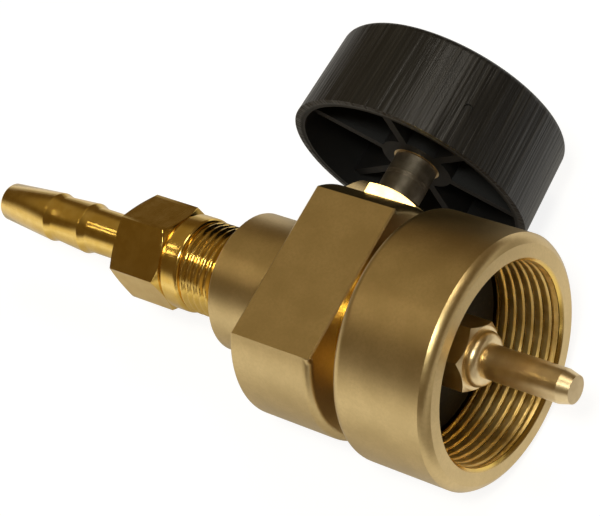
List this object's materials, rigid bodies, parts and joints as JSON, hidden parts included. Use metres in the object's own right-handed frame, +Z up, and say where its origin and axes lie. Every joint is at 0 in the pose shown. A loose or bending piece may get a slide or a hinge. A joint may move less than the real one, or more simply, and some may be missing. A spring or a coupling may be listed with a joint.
{
  "type": "fixed flow regulator",
  "caption": "Brass gas regulator with a screw collar and probe, a black on and off knob, and a barbed hose tail that sets a fixed flow.",
  "frame": {"origin": "centre of the collar's mouth, on the main axis through the collar, the block and the hose tail", "axes": "+X along the main axis and out of the mouth, +Y along the valve stem towards the knob, +Z up out of the front wrench flat"},
  "size_m": [0.091, 0.0485, 0.0326],
  "materials": {
    "body_brass": "bead blasted, matt",
    "turned_brass": "as turned",
    "polished_brass": "bright turned",
    "black_rubber": "matt",
    "sintered_bronze": "grainy",
    "spring_steel": "satin",
    "zinc_steel": "plated",
    "stem_metal": "dark satin",
    "copper": "dull",
    "white_ptfe": "waxy",
    "black_plastic": "moulded, faintly fluted"
  },
  "bodies": {
    "body": {"valve_body": "body_brass", "inlet_gasket": "black_rubber", "inlet_probe": "turned_brass", "inlet_filter": "sintered_bronze", "filter_ring": "spring_steel", "bonnet_nut": "polished_brass", "bonnet_gasket": "copper", "hose_barb": "polished_brass", "flow_orifice": "turned_brass", "orifice_screen": "zinc_steel", "screen_ring": "spring_steel"},
    "seat": {"disc_holder": "turned_brass", "seat_disc": "white_ptfe", "holder_ring": "spring_steel"},
    "handle": {"valve_stem": "stem_metal", "stem_o_ring": "black_rubber", "backup_ring": "white_ptfe", "knob": "black_plastic", "knob_insert": "turned_brass", "knob_screw": "zinc_steel", "lock_washer": "spring_steel"}
  },
  "joints": [
    {"name": "seat_lift", "type": "slide", "parent": "body", "child": "seat", "axis": [0, 1, 0], "range_m": [0, 0.00106]},
    {"name": "knob_turn", "type": "hinge", "parent": "seat", "child": "handle", "pos_m": [-0.02515, 0, 0], "axis": [0, 1, 0], "range_deg": [0, 540]}
  ],
  "couplings": [
    {"joint": "seat_lift", "follows": "knob_turn", "m_per_rad": 0.00011141}
  ]
}
